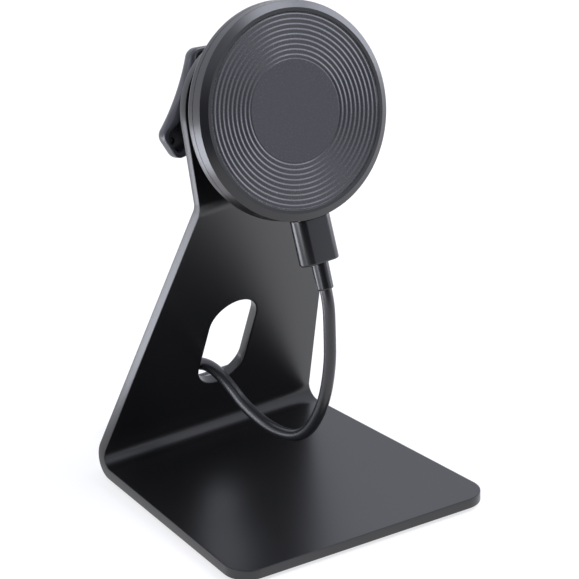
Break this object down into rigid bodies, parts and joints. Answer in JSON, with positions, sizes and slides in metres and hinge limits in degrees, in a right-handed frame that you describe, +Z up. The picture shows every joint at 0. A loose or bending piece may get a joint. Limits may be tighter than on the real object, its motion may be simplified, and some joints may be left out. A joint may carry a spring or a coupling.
{
  "type": "charging stand",
  "caption": "Desk stand bent from one tapered metal sheet, holding a round wireless charging puck with a ringed face, clamped by a lobed knob; its lead goes back through a slot.",
  "frame": {"origin": "on the desk under the middle of the base's length, on the stand's plane of symmetry", "axes": "+Z up from the desk, -Y towards the user in front, +X to the right seen from the front"},
  "size_m": [0.0856, 0.1028, 0.1501],
  "materials": {
    "frame_metal": "black anodised over a fine blasted surface",
    "silicone": "matt silicone",
    "puck_shell": "dark grey, fine matt moulding",
    "ridged_face": "soft-touch silicone with moulded rings",
    "mount_plastic": "black moulding",
    "knob_plastic": "black glass-filled moulding",
    "steel": "zinc-plated steel",
    "brass": "plain turned brass",
    "copper": "enamelled copper winding",
    "ferrite": "sintered ferrite sheet",
    "magnet": "nickel-plated magnet segments",
    "board": "green solder mask",
    "plug_metal": "nickel-plated drawn shell",
    "plug_moulding": "dark grey overmoulding",
    "cable_jacket": "smooth limp jacket with a slight sheen",
    "tie_fabric": "woven hook strap"
  },
  "bodies": {
    "stand": {"stand_frame": "frame_metal", "base_pad": "silicone", "mount_head": "mount_plastic", "mount_screws": "steel", "clamp_stud": "steel", "thrust_washer": "steel", "rear_housing": "puck_shell", "front_bezel": "puck_shell", "face_pad": "ridged_face", "circuit_board": "board", "ferrite_shield": "ferrite", "charging_coil": "copper", "magnet_ring": "magnet", "usb_socket": "plug_metal", "plug_shell": "plug_metal", "plug_body": "plug_moulding", "strain_relief": "plug_moulding", "cable_run": "cable_jacket", "cable_hank": "cable_jacket", "hank_tie": "tie_fabric", "cable_tail": "cable_jacket", "far_plug_shell": "plug_metal", "far_plug_body": "plug_moulding", "far_strain_relief": "plug_moulding"},
    "clamp_knob": {"clamp_knob": "knob_plastic", "knob_insert": "brass"}
  },
  "joints": [
    {"name": "knob_turn", "type": "hinge", "parent": "stand", "child": "clamp_knob", "pos_m": [0, 0.01699, 0.11318], "axis": [0, -0.9285, 0.3714], "continuous": true}
  ]
}
